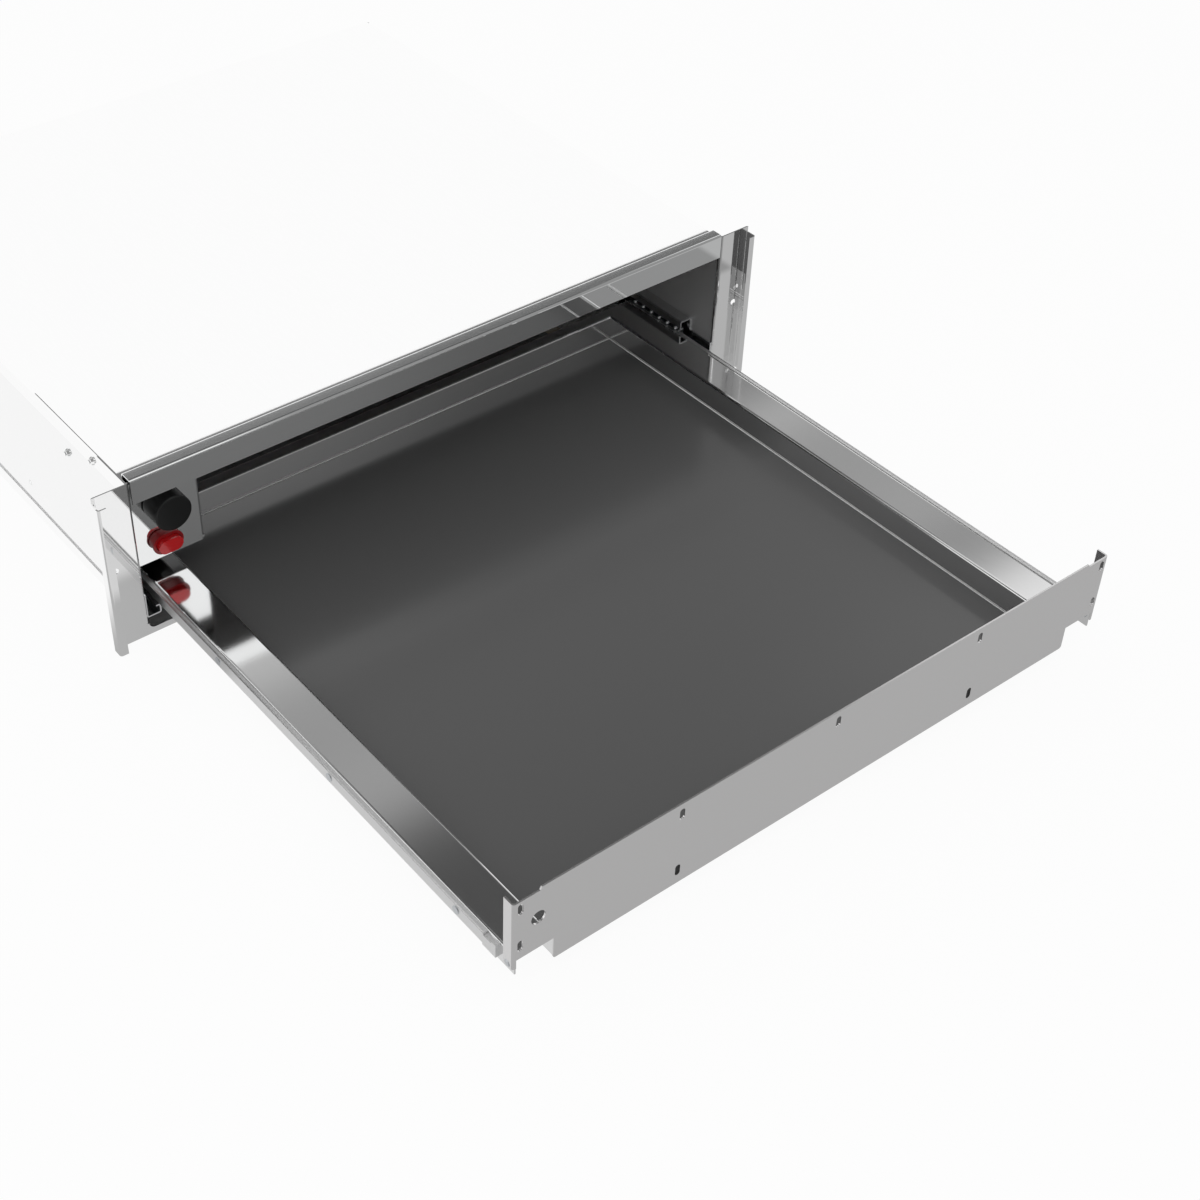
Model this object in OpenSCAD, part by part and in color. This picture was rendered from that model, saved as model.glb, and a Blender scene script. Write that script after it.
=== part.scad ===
// Built-in warming drawer for a 600 mm cabinet column, drawn with the drawer pulled out.
// X is the width, +Y runs into the cabinet, +Z is up. Y = 0 is the front of the side flanges
// and Z = 0 is the shelf that the housing stands on. All sizes are in millimetres.

/* [Front frame] */
// Width across the outer lips of the two side flanges
frame_w = 596; // [580:1:620]
// Height of the side flanges
flange_h = 136; // [132:1:150]
// Clear width between the side walls of the housing
opening_w = 537.8; // [520:0.2:548]
// How far the outer lip of a flange stands forward
lip_d = 9; // [6:0.5:12]
// Drop from the top of a flange to the top of its lip
lip_drop = 5; // [3:0.5:12]
// Width of the return at the front of a lip
return_w = 6.5; // [4:0.5:9]
// Height of the foot that a flange reaches under the runner
foot_h = 5; // [3:0.5:7]
// Length of that foot from the side wall inwards
foot_l = 32; // [20:1:40]
// Diameter of the screw hole in each flange
flange_hole_d = 5; // [4:0.5:6]
// Distance of the screw hole from the outer lip
flange_hole_inset = 10; // [9:0.5:14]
// Height of the screw hole
flange_hole_z = 68; // [40:1:100]
// Height of the face of the top rail
rail_h = 20.5; // [15:0.5:28]
// Depth of the top rail
rail_d = 12; // [9:0.5:18]
// How far the top rail stands above the flanges
rail_rise = 2; // [1.5:0.1:3]

/* [Housing] */
// Thickness of the steel sheet of frame, housing and drawer
sheet = 1; // [0.8:0.1:1.2]
// Inside radius of the bends in the sheet
bend_r = 1; // [0.6:0.1:1.4]
// Depth of the housing behind the front of the flanges
housing_d = 505; // [490:1:540]
// How far the cover lies below the top of the flanges
cover_drop = 2; // [1:0.1:4]
// Height of the hems that hold base, cover and sides together
hem_h = 12; // [8:0.5:16]
// Width of the inward flange at the back of a side wall
back_flange = 14; // [10:0.5:20]
// Length of a ventilation slot in the back panel
vent_l = 26; // [16:1:40]
// Height of a ventilation slot
vent_h = 4; // [3:0.5:6]
// Number of ventilation slots in a row
vent_count = 7; // [3:1:8]

/* [Drawer] */
// Travel of the drawer from closed to fully open
travel = 400; // [360:1:410]
// Distance of the closed front plate from the front of the flanges
front_gap = 12.8; // [11:0.2:16]
// Height of the side rims of the tray
rim_z = 34.4; // [32:0.2:36]
// Width of the side rims
rim_w = 29.3; // [20:0.1:36]
// Height of the downturned outer lip of the side rims
tray_lip_h = 15.5; // [12:0.5:18]
// Width of the rim behind the back wall of the tray
back_rim_w = 12; // [8:0.5:16]
// Room between the front plate and the front wall of the tray
front_box = 15; // [12:0.5:20]
// Width of the ledge that carries the glass
ledge_w = 12; // [8:0.5:18]
// Height of the upper face of the glass
glass_z = 12.5; // [12:0.1:14]
// Thickness of the glass plate
glass_t = 4; // [3:0.5:4]
// Thickness of the seal under the glass
seal_t = 0.5; // [0.4:0.1:0.8]

/* [Front plate] */
// Room between the side walls and the plate that carries the furniture front
plate_gap = 10.3; // [7:0.1:19]
// Thickness of that plate
plate_t = 1.2; // [1:0.1:1.5]
// Height of the upper edge at the ends of the plate
plate_top = 82.7; // [78:0.1:88]
// Height of the lower edge at the ends of the plate
plate_bottom = 32.5; // [30:0.5:34]
// How much the middle of the plate stands above its ends
plate_step = 2.3; // [1:0.1:4]
// Distance of the raised middle part from the ends of the plate
step_inset = 21.1; // [18:0.1:58]
// Height of the lower edge of the middle part
apron_z = 14; // [10:0.5:20]
// Depth of the returns at the ends of the plate
return_d = 9; // [6:0.5:10]
// How far the returns reach below the ends of the plate
return_drop = 7.5; // [4:0.5:12]
// Width of the fixing slots
slot_w = 4; // [3:0.5:5]
// Height of the fixing slots
slot_h = 9; // [7:0.5:12]
// Height of the upper row of slots
slot_top_z = 76; // [70:0.5:78]
// Height of the lower slots at the ends
slot_end_z = 43.8; // [40:0.2:50]
// Height of the lower slots in the middle part
slot_low_z = 26; // [24:0.5:34]
// Distance of the outer slots from the ends of the plate
slot_inset = 5.6; // [3:0.1:18]
// Distance of the inner slots from the middle
slot_inner_x = 130.5; // [100:0.5:160]
// Diameter of the adjusting hole at the left end
adjust_hole_d = 10.6; // [8:0.2:12]

/* [Ball runners] */
// Room for a runner between the side wall and the tray
runner_t = 12.7; // [12.6:0.1:13.5]
// Height of the fixed rail of a runner
runner_h = 32; // [30:0.5:34]
// Thickness of the rail's strip
runner_sheet = 1.2; // [1:0.1:1.4]
// Height of the sliding bar
bar_h = 9; // [8:0.5:10]
// Thickness of the sliding bar
bar_t = 3.6; // [3:0.1:4]
// Diameter of the balls
ball_d = 3.5; // [3:0.1:3.7]
// Number of balls in a row
ball_count = 6; // [4:1:7]
// Length of a ball cage
cage_l = 62; // [50:1:63]
// Length of the open stretch at the front of a fixed rail
hook_l = 26; // [20:1:27]

/* [Controls] */
// Distance of the control panel behind the front of the flanges
panel_y = 21.2; // [18:0.2:26]
// Height of the lower edge of the control panel
panel_z = 44.3; // [43:0.1:48]
// Width of the control panel
panel_w = 62.3; // [56:0.1:70]
// Depth of the control box
box_d = 78; // [70:1:100]
// Diameter of the knob
knob_d = 28.4; // [24:0.2:34]
// Length of the knob in front of the panel
knob_l = 18.9; // [14:0.1:19]
// Width of the button cap
cap_w = 19.3; // [16:0.1:22]
// Height of the button cap
cap_h = 11.3; // [9:0.1:12]
// How far the cap stands in front of the panel
cap_out = 9.3; // [8:0.1:12]
// Travel of the push button
button_travel = 2.5; // [1.5:0.1:3]
// Thickness of the red collar round the cap
collar_wall = 1.6; // [1.2:0.1:2.2]
// How far the collar stands in front of the panel
collar_out = 5; // [4:0.1:5.5]
// Diameter of the thermostat's shaft
shaft_d = 6; // [5:0.5:8]

/* [Hidden] */

// Clearance between pieces that move past each other
run_gap = 0.3;
// Clearance between pieces that are put together
fit_gap = 0.15;
// Clearance round the turning shaft
bearing_gap = 0.08;
// Overrun of every cut
over = 1;
// Number of steps in a bend of the sheet
bend_steps = 5;
// Fineness of exact round pieces
fine = 48;
// Joint faces of sheets that are welded share this much
weld = 0.05;

steel = "#b9bbbc";
bright = "#dcdedf";
zinc = "#c9cccb";

// Frame and housing
housing_h = flange_h - cover_drop;
half_open = opening_w / 2;
half_frame = frame_w / 2;
wall_x = half_open + sheet / 2;
hem_x = half_open + sheet + sheet / 2;
wall_foot_z = sheet + bend_r;
wall_top = housing_h - sheet - bend_r;
cover_under = housing_h - sheet;
rail_top = flange_h + rail_rise;
lip_top = flange_h - lip_drop;
hole_x = half_frame - flange_hole_inset;
fillet_r = foot_h;
side_gap = sheet * 0.7;
vent_pitch = vent_h * 2.6;
vent_z = housing_h * 0.55;
gland_d = 16;
screw_d = 4;
screw_shares = [0.08, 0.36, 0.64, 0.92];
base_hole_d = 5;
base_hole_shares = [0.12, 0.88];
back_screw_shares = [0.18, 0.5, 0.82];
cover_screw_shares = [0.1, 0.5, 0.9];
gland_x = -half_open * 0.72;
gland_z = housing_h * 0.5;

// Drawer, in its closed position
plate_y = -front_gap;
tray_x = half_open - runner_t;
inner_x = tray_x - rim_w;
tray_front = plate_y + plate_t;
wall_front = tray_front + front_box;
rear_gap = 8;
wall_back = housing_d - 2 * sheet - rear_gap - back_rim_w;
tray_back = wall_back + back_rim_w;
inner_l = wall_back - wall_front;
mid_y = (wall_back + wall_front) / 2;
glass_under = glass_z - glass_t;
ledge_top = glass_under - seal_t;
wall_foot = plate_bottom / 2;
plate_half = half_open - plate_gap;
step_x = plate_half - step_inset;
slot_outer_x = plate_half - slot_inset;
apron_x = inner_x + sheet;
apron_r = 2 * sheet;
step_run = plate_step / 2;
return_z = plate_bottom - return_drop;
rivet_d = 3.2;
pack_top = rim_z - 2 * (sheet + bend_r);
adjust_x = -plate_half + slot_w * 4.7;
adjust_z = (slot_top_z + slot_end_z) / 2;
bumper_share = 0.62;

// Runners
bar_z = rim_z - run_gap - bar_h / 2;
rail_y0 = 2 * sheet;
rail_back_gap = 19;
rail_y1 = housing_d - rail_back_gap;
bar_y0 = rail_y0;
bar_y1 = tray_back - sheet;
groove_r = ball_d / 2 + fit_gap;
groove_depth = ball_d * 0.1;
ball_v = bar_h / 2 - groove_depth + fit_gap + ball_d / 2;
ball_u = runner_t - bar_t * 0.58;
race_v = ball_v + ball_d / 2 + fit_gap;
rail_lip_gap = 0.7;
rail_lip_u = runner_t - rail_lip_gap - runner_sheet / 2;
shelf_l = ball_d * 0.95;
toe_l = 13;
toe_drop = 1.6;
notch_l = 8;
cage_t = 0.6;
cage_u = rail_lip_u - shelf_l - ball_d * 0.45;
cage_y0 = rail_y0 + hook_l + 2 * sheet;
ball_pitch = cage_l / ball_count;
stop_l = 8;

// Controls
panel_x0 = -half_open + run_gap;
panel_x1 = -half_open + panel_w;
panel_mid = -half_open + panel_w / 2;
box_y1 = panel_y + box_d;
runner_top = bar_z + runner_h / 2;
notch_w = runner_t + 2 * run_gap;
box_top = cover_under - run_gap;
knob_share = 0.568;
button_share = 0.165;
knob_z = panel_z + (box_top - panel_z) * knob_share;
button_z = panel_z + (box_top - panel_z) * button_share;
box_screw_y = box_y1 - hem_h / 2;
box_screw_z = housing_h * 0.8;
knob_gap = 1.2;
knob_y0 = panel_y - knob_gap;
thermo_w = 34;
thermo_h = 30;
thermo_d = 22;
tab_t = 2;
neck_d = 11;
neck_l = 7;
nut_w = 14;
shaft_l = knob_l * 0.8;
shaft_y0 = knob_y0 - shaft_l;
cap_y1 = panel_y - cap_out;
switch_d = 22;
switch_wall = 2;
collar_ledge = 1;
collar_a = cap_w / 2 + collar_wall + run_gap;
collar_b = cap_h / 2 + collar_wall + run_gap;
body_a = collar_a - collar_ledge;
body_b = collar_b - collar_ledge;
spring_turns = 5;
spring_wire = 0.7;
spring_steps = 12;

// Heating and wiring
board_t = 2.2;
heater_t = 1.2;
element_d = 1.6;
heater_margin = 30;
element_runs = 10;
lead_d = 2.6;
harness_d = 5;
harness_x = -half_open + harness_d / 2 + 2 * sheet;
harness_z = housing_h * 0.86;
block_w = 16;
block_l = 40;
block_h = 18;
block_gap = 10;
block_y = rail_y1 - block_l - block_gap;
block_z = gland_z - block_h / 2;
bulb_d = 6;
bulb_l = 80;
bulb_gap = 2;
bulb_x = -half_open + bulb_d / 2 + bulb_gap;
bulb_z = housing_h * 0.7;
capillary_l = 60;
bulb_y = box_y1 + capillary_l;
tube_d = 1.6;
capillary_steps = 14;

// Points of a bent sheet
function unit(v) = v / norm(v);
function left(v) = [-v[1], v[0]];
function turned(v, a) = [v[0] * cos(a) - v[1] * sin(a), v[0] * sin(a) + v[1] * cos(a)];
function backwards(p) = [for (i = [len(p) - 1 : -1 : 0]) p[i]];
function bend(a, b, c, t, r, side) =
    let (d1 = unit(b - a), d2 = unit(c - b),
         s = d1[0] * d2[1] - d1[1] * d2[0] > 0 ? 1 : -1,
         angle = acos(d1 * d2), mid_r = r + t / 2,
         centre = b - d1 * mid_r * tan(angle / 2) + left(d1) * s * mid_r,
         radius = mid_r - s * side * t / 2)
    [for (k = [0 : bend_steps]) centre + radius * turned(-left(d1) * s, s * angle * k / bend_steps)];
function bent_edge(p, t, r, side) =
    [for (i = [0 : len(p) - 1]) each
        i == 0 ? [p[0] + left(unit(p[1] - p[0])) * side * t / 2]
        : i == len(p) - 1 ? [p[i] + left(unit(p[i] - p[i - 1])) * side * t / 2]
        : bend(p[i - 1], p[i], p[i + 1], t, r, side)];
function flipped(p) = [for (q = p) [-q[0], q[1]]];

// Cross-section of a sheet of thickness t bent along the points of its middle line
module bent_sheet(p, t = sheet, r = bend_r) {
    polygon(concat(bent_edge(p, t, r, 1), backwards(bent_edge(p, t, r, -1))));
}

// A profile drawn in X and Z, run from y0 to y1
module along_y(y0, y1) {
    translate([0, y1, 0]) rotate([90, 0, 0]) linear_extrude(y1 - y0) children();
}

// A profile drawn in Y and Z, run from x0 to x1
module along_x(x0, x1) {
    translate([x0, 0, 0]) rotate([90, 0, 90]) linear_extrude(x1 - x0) children();
}

module block(lo, hi) {
    translate(lo) cube(hi - lo);
}

// A round rod along Y
module rod_y(d, y0, y1) {
    translate([0, y1, 0]) rotate([90, 0, 0]) cylinder(d = d, h = y1 - y0, $fn = fine);
}

// A prism along Y with half width a, half height b and round ends
module stadium_y(a, b, y0, y1) {
    for (s = [-1, 1]) translate([s * (a - b), 0, 0]) rod_y(2 * b, y0, y1);
    block([-(a - b), y0, -b], [a - b, y1, b]);
}

// An upright slot cut along Y
module upright_slot(w, h, y0, y1) {
    for (s = [-1, 1]) translate([0, 0, s * (h - w) / 2]) rod_y(w, y0, y1);
    block([-w / 2, y0, -(h - w) / 2], [w / 2, y1, (h - w) / 2]);
}

// A round tube through the given points
module pipe(points, d) {
    for (i = [0 : len(points) - 2])
        let (v = points[i + 1] - points[i], l = norm(v), pitch = acos(v[2] / l), turn = atan2(v[1], v[0]))
            translate(points[i]) rotate([0, pitch, turn]) cylinder(d = d, h = l, $fn = 16);
    for (i = [1 : len(points) - 2]) translate(points[i]) sphere(d = d, $fn = 16);
}

// A tube swept along a smooth row of points; side is a direction that the tube never takes
function along(p, i) = unit(p[min(i + 1, len(p) - 1)] - p[max(i - 1, 0)]);
module swept_tube(p, d, side, sides = 8) {
    rings = [for (i = [0 : len(p) - 1])
        let (t = along(p, i), n = unit(cross(side, t)), b = cross(t, n))
            each [for (k = [0 : sides - 1]) p[i] + d / 2 * (cos(360 * k / sides) * n + sin(360 * k / sides) * b)]];
    last = (len(p) - 1) * sides;
    walls = [for (i = [0 : len(p) - 2], k = [0 : sides - 1])
        let (a = i * sides + k, b = i * sides + (k + 1) % sides)
            each [[a, a + sides, b + sides], [a, b + sides, b]]];
    ends = [for (k = [1 : sides - 2]) each [[0, k, k + 1], [last, last + k + 1, last + k]]];
    polyhedron(points = rings, faces = concat(walls, ends));
}

// The same points with every corner eased by a curve that starts r before it
function eased(p, r, steps = 5) = [for (i = [0 : len(p) - 1]) each
    i == 0 || i == len(p) - 1 ? [p[i]]
    : let (a = p[i] + r * unit(p[i - 1] - p[i]), b = p[i] + r * unit(p[i + 1] - p[i]))
        [for (k = [0 : steps]) let (s = k / steps)
            (1 - s) * (1 - s) * a + 2 * s * (1 - s) * p[i] + s * s * b]];

module opened(distance = travel) {
    translate([0, -distance, 0]) children();
}

module left_too() {
    children();
    mirror([1, 0, 0]) children();
}

// Side wall, flange, lip and return are one bent sheet
module housing_side() {
    back_y = housing_d - sheet - sheet / 2;
    path = [[wall_x - back_flange, back_y], [wall_x, back_y], [wall_x, sheet / 2],
            [half_frame - sheet / 2, sheet / 2], [half_frame - sheet / 2, sheet / 2 - lip_d],
            [half_frame - return_w, sheet / 2 - lip_d]];
    wall_y = sheet + bend_r;
    difference() {
        linear_extrude(flange_h) bent_sheet(path);
        block([half_open - back_flange - over, wall_y, wall_top], [half_frame, housing_d, flange_h + over]);
        block([half_open - back_flange - over, wall_y, -over], [half_frame, housing_d, wall_foot_z]);
        block([half_frame - return_w - over, -lip_d - over, lip_top], [half_frame + over, 0, flange_h + over]);
        translate([hole_x, 0, flange_hole_z]) rod_y(flange_hole_d, -over, sheet + over);
        for (y = screw_places(rail_y0, rail_y1))
            translate([half_open - over, y, bar_z]) rotate([0, 90, 0])
                cylinder(d = screw_d, h = 2 * over + sheet, $fn = fine);
    }
    foot();
}

// The flange reaches under the runner with a rounded inner corner
module foot() {
    x1 = half_open + sheet + bend_r;
    along_y(0, sheet) difference() {
        translate([half_open - foot_l, 0]) square([x1 - half_open + foot_l, foot_h + fillet_r]);
        translate([half_open - foot_l - over, foot_h + fillet_r])
            square([foot_l + over, fillet_r]);
        translate([half_open - foot_l - over, foot_h]) square([foot_l + over - fillet_r, fillet_r + over]);
        translate([half_open - fillet_r, foot_h + fillet_r]) circle(r = fillet_r, $fn = fine);
    }
}

function screw_places(y0, y1) = [for (s = screw_shares) y0 + (y1 - y0) * s];

module housing_base() color(zinc) {
    y0 = sheet + bend_r + run_gap;
    tongue_x = half_open - foot_l - side_gap;
    difference() {
        union() {
            along_y(y0, housing_d - sheet)
                bent_sheet([[-hem_x, hem_h], [-hem_x, sheet / 2], [hem_x, sheet / 2], [hem_x, hem_h]]);
            block([-tongue_x, 0, 0], [tongue_x, y0 + weld, sheet]);
        }
        for (s = [-1, 1], y = base_hole_shares * housing_d)
            translate([s * inner_x, y, -over]) cylinder(d = base_hole_d, h = sheet + 2 * over, $fn = fine);
    }
}

module housing_right_side() color(bright) housing_side();
module housing_left_side() color(bright) difference() {
    mirror([1, 0, 0]) housing_side();
    translate([-half_open - sheet - over, box_screw_y, box_screw_z]) rotate([0, 90, 0])
        cylinder(d = screw_d, h = 2 * over + sheet, $fn = fine);
}

module housing_back() color(zinc) {
    y0 = housing_d - sheet;
    difference() {
        block([-hem_x - sheet / 2, y0, 0], [hem_x + sheet / 2, housing_d, housing_h]);
        for (i = [0 : vent_count - 1], k = [0 : 2])
            translate([(i - (vent_count - 1) / 2) * vent_l * 1.5, 0, vent_z + k * vent_pitch])
                stadium_y(vent_l / 2, vent_h / 2, y0 - over, housing_d + over);
        translate([gland_x, 0, gland_z]) rod_y(gland_d, y0 - over, housing_d + over);
        for (s = [-1, 1], z = back_screw_shares * housing_h)
            translate([s * (half_open - back_flange / 2), 0, z]) rod_y(screw_d, y0 - over, housing_d + over);
    }
}

module housing_cover() color(zinc) {
    y0 = sheet + bend_r + run_gap;
    z = housing_h - sheet / 2;
    z0 = housing_h - hem_h;
    difference() {
        along_y(y0, housing_d - sheet)
            bent_sheet([[-hem_x, z0], [-hem_x, z], [hem_x, z], [hem_x, z0]]);
        for (s = [-1, 1], y = cover_screw_shares * housing_d)
            translate([s * hem_x, y, z0 + hem_h / 3]) rotate([0, 90, 0])
                cylinder(d = screw_d, h = 4 * sheet, center = true, $fn = fine);
    }
}

// Inverted channel between the flanges, standing on the front edge of the cover
module front_top_rail() color(steel) {
    y0 = -sheet / 2;
    along_x(-half_open + side_gap, half_open - side_gap)
        bent_sheet([[y0 + sheet / 2, rail_top - rail_h], [y0 + sheet / 2, rail_top - sheet / 2],
                    [y0 + rail_d - sheet / 2, rail_top - sheet / 2], [y0 + rail_d - sheet / 2, housing_h]]);
}

// Pan-head screw with a cross recess, head towards -Z
module screw(d, l) {
    difference() {
        translate([0, 0, -d * 0.45]) cylinder(d1 = d * 1.5, d2 = d * 1.9, h = d * 0.45, $fn = fine);
        for (a = [0, 90]) rotate([0, 0, a])
            block([-d * 0.55, -d * 0.1, -d * 0.45 - over], [d * 0.55, d * 0.1, -d * 0.2]);
    }
    cylinder(d = d - 2 * fit_gap, h = l, $fn = fine);
}

module housing_screws() color(zinc) {
    for (s = [-1, 1], z = back_screw_shares * housing_h)
        translate([s * (half_open - back_flange / 2), housing_d, z]) rotate([90, 0, 0])
            screw(screw_d, sheet);
    for (s = [-1, 1], y = cover_screw_shares * housing_d)
        translate([s * (hem_x + sheet / 2), y, housing_h - hem_h * 2 / 3]) rotate([0, -90 * s, 0])
            screw(screw_d, sheet);
}

module insulation_board() color("#cfc8b8")
    block([-inner_x + heater_margin / 2, heater_margin / 2, sheet],
          [inner_x - heater_margin / 2, wall_back - heater_margin / 2, sheet + board_t]);

module heating_plate() color("#8f9294")
    block([-inner_x + heater_margin, heater_margin, sheet + board_t],
          [inner_x - heater_margin, wall_back - heater_margin, sheet + board_t + heater_t]);

// Flat resistance strip laid in runs from left to right
module heating_element() color("#5d4a3c") {
    x = inner_x - 2 * heater_margin;
    y0 = 2 * heater_margin;
    pitch = (wall_back - 4 * heater_margin) / (element_runs - 1);
    z = sheet + board_t + heater_t;
    for (i = [0 : element_runs - 1])
        block([-x, y0 + i * pitch - element_d, z], [x, y0 + i * pitch + element_d, z + element_d / 2]);
    for (i = [0 : element_runs - 2])
        let (s = i % 2 == 0 ? 1 : -1)
            block([s * x - element_d, y0 + i * pitch - element_d, z],
                  [s * x + element_d, y0 + (i + 1) * pitch + element_d, z + element_d / 2]);
}

// From the heating plate up the back corner to the terminal block
module heater_lead() color("#a43c34") {
    x = -half_open + lead_d / 2 + 2 * run_gap;
    y = housing_d - 2 * sheet - run_gap - lead_d / 2;
    z = sheet + board_t + heater_t + lead_d / 2;
    pipe([[-inner_x + 2 * heater_margin, wall_back - 1.5 * heater_margin, z],
          [-inner_x + 2 * heater_margin, y, z], [x, y, z], [x, y, gland_z],
          [x, block_y + block_l, gland_z]], lead_d);
}

module terminal_block() color("#e6e2d6") {
    x0 = -half_open;
    y_step = block_l / 3;
    difference() {
        block([x0, block_y, block_z], [x0 + block_w, block_y + block_l, block_z + block_h]);
        for (i = [0 : 2]) translate([x0 + block_w * 0.55, block_y + y_step * (i + 0.5), block_z + block_h * 0.4])
            cylinder(d = y_step * 0.5, h = block_h, $fn = fine);
        for (i = [1, 2]) block([x0 + block_w * 0.3, block_y + y_step * i - sheet / 2, block_z + block_h * 0.8],
                               [x0 + block_w + over, block_y + y_step * i + sheet / 2, block_z + block_h + over]);
    }
}

// From the thermostat along the side wall to the terminal block
module wiring_harness() color("#3a3c40") {
    x0 = panel_mid + thermo_w / 4;
    y0 = panel_y + sheet + fit_gap + thermo_d + neck_l;
    z0 = knob_z - thermo_h / 3 + neck_l / 4;
    y1 = block_y + block_l / 3;
    swept_tube(eased([[x0, y0, z0], [x0, y0 + 2 * harness_d, z0],
                      [harness_x, box_y1 + 2 * harness_d, harness_z], [harness_x, y1, harness_z],
                      [harness_x, y1, block_z + block_h]], 1.8 * harness_d), harness_d, [1, 0, 0]);
}

module cable_bush() color("#26282a") {
    lip = gland_d * 0.2;
    translate([gland_x, 0, gland_z]) difference() {
        union() {
            rod_y(gland_d - 2 * fit_gap, housing_d - sheet, housing_d);
            rod_y(gland_d + lip, housing_d, housing_d + lip / 2);
            rod_y(gland_d + lip, housing_d - sheet - lip / 2, housing_d - sheet);
        }
        rod_y(gland_d * 0.6, housing_d - over - lip, housing_d + over + lip);
    }
}

// Rubber buffers on the back panel stop the closed tray
module rear_bumpers() color("#26282a") {
    z = rim_z - tray_lip_h / 4;
    for (s = [-1, 1]) translate([s * inner_x * bumper_share, 0, z])
        rod_y(tray_lip_h / 2, tray_back + run_gap, housing_d - sheet);
}

// Open-backed box: front panel, right side and bottom in one bent sheet, cut out over the runner
module control_box() color(steel) {
    path = [[panel_x0, panel_y + sheet / 2], [panel_x1 - sheet / 2, panel_y + sheet / 2],
            [panel_x1 - sheet / 2, box_y1]];
    difference() {
        union() {
            translate([0, 0, panel_z]) linear_extrude(box_top - panel_z) bent_sheet(path);
            along_x(panel_x0 + notch_w, panel_x1 - weld)
                bent_sheet([[panel_y + sheet / 2, panel_z + 4 * sheet], [panel_y + sheet / 2, panel_z + sheet / 2],
                            [box_y1, panel_z + sheet / 2]]);
            block([panel_x0, box_y1 - hem_h, panel_z + 2 * notch_w], [panel_x0 + sheet, box_y1, box_top]);
            block([panel_x0, panel_y + weld, box_top - sheet], [panel_x1 - weld, box_y1, box_top]);
        }
        block([panel_x0 - over, panel_y + sheet, panel_z - over],
              [panel_x0 + notch_w, box_y1 + over, runner_top + run_gap]);
        translate([panel_x0 - over, box_screw_y, box_screw_z]) rotate([0, 90, 0])
            cylinder(d = screw_d, h = 2 * over + sheet, $fn = fine);
        translate([panel_mid, 0, knob_z]) rod_y(neck_d + 2 * fit_gap, panel_y - over, panel_y + sheet + over);
        translate([panel_mid, 0, button_z])
            stadium_y(body_a + fit_gap, body_b + fit_gap, panel_y - over, panel_y + sheet + over);
    }
}

module control_box_screw() color(zinc)
    translate([-half_open - sheet, box_screw_y, box_screw_z]) rotate([0, 90, 0]) screw(screw_d, 2 * sheet + run_gap);

module thermostat_body() color("#c8c9c6") {
    y0 = panel_y + sheet + fit_gap;
    translate([panel_mid, 0, knob_z]) {
        block([-thermo_w / 2, y0, -thermo_h / 2], [thermo_w / 2, y0 + thermo_d, thermo_h / 2]);
        difference() {
            rod_y(neck_d, panel_y - 2 * sheet, y0 + over);
            rod_y(shaft_d + 2 * bearing_gap, panel_y - 3 * sheet, y0 + 2 * over);
        }
        for (s = [-1, 1]) block([s * thermo_w / 4 - tab_t / 2, y0 + thermo_d, -thermo_h / 3],
                                [s * thermo_w / 4 + tab_t / 2, y0 + thermo_d + neck_l, -thermo_h / 3 + neck_l / 2]);
    }
}

module thermostat_nut() color(zinc)
    translate([panel_mid, panel_y, knob_z]) rotate([90, 0, 0]) difference() {
        cylinder(d = nut_w, h = sheet, $fn = 6);
        translate([0, 0, -over]) cylinder(d = neck_d + 2 * fit_gap, h = sheet + 2 * over, $fn = fine);
    }

// Runs back from the thermostat and swings over to the bulb on the side wall
module capillary_tube() color("#b87a4b") {
    y0 = panel_y + sheet + fit_gap + thermo_d;
    x = panel_mid - thermo_w / 4 - tab_t - tube_d;
    y1 = box_y1 + tube_d;
    swing = [for (i = [0 : capillary_steps]) let (s = i / capillary_steps)
        [x + (bulb_x - x) * (1 - cos(180 * s)) / 2, y1 + (bulb_y - 2 * tube_d - y1) * s, bulb_z]];
    swept_tube(concat([[x, y0, bulb_z]], swing, [[bulb_x, bulb_y, bulb_z]]), tube_d, [0, 0, 1]);
}

module sensor_bulb() color("#b87a4b")
    translate([bulb_x, 0, bulb_z]) rod_y(bulb_d, bulb_y, bulb_y + bulb_l);

module bulb_clips() color(zinc)
    for (s = [0.2, 0.8]) translate([0, bulb_y + bulb_l * s, bulb_z]) difference() {
        block([-half_open, -bulb_d / 2, -bulb_d], [bulb_x + bulb_d * 0.7, bulb_d / 2, bulb_d * 0.9]);
        translate([bulb_x, 0, 0]) rod_y(bulb_d + 2 * fit_gap, -bulb_d, bulb_d);
        block([-half_open + sheet, -bulb_d, -bulb_d - over], [bulb_x + bulb_d, bulb_d, -bulb_d * 0.6]);
    }

// Insulating case of the switch, clipped into the panel from the front
module switch_body() color("#26282a") {
    y1 = panel_y + sheet + switch_d;
    translate([panel_mid, 0, button_z]) {
        difference() {
            stadium_y(body_a, body_b, panel_y, y1);
            stadium_y(cap_w / 2 + run_gap, cap_h / 2 + run_gap, panel_y - over, y1 - switch_wall);
        }
        for (s = [-1, 1]) block([s * cap_w / 4 - tab_t / 4, y1, -cap_h / 4],
                                [s * cap_w / 4 + tab_t / 4, y1 + neck_l, cap_h / 4]);
    }
}

// Fixed red collar with a thin bead at its front edge
module switch_collar() color("#9b1519") {
    bead = collar_wall * 0.4;
    translate([panel_mid, 0, button_z]) difference() {
        union() {
            stadium_y(collar_a, collar_b, panel_y - collar_out, panel_y);
            stadium_y(collar_a + bead, collar_b + bead, panel_y - collar_out, panel_y - collar_out * 0.72);
        }
        stadium_y(cap_w / 2 + run_gap, cap_h / 2 + run_gap, panel_y - collar_out - over, panel_y + over);
    }
}

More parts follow.
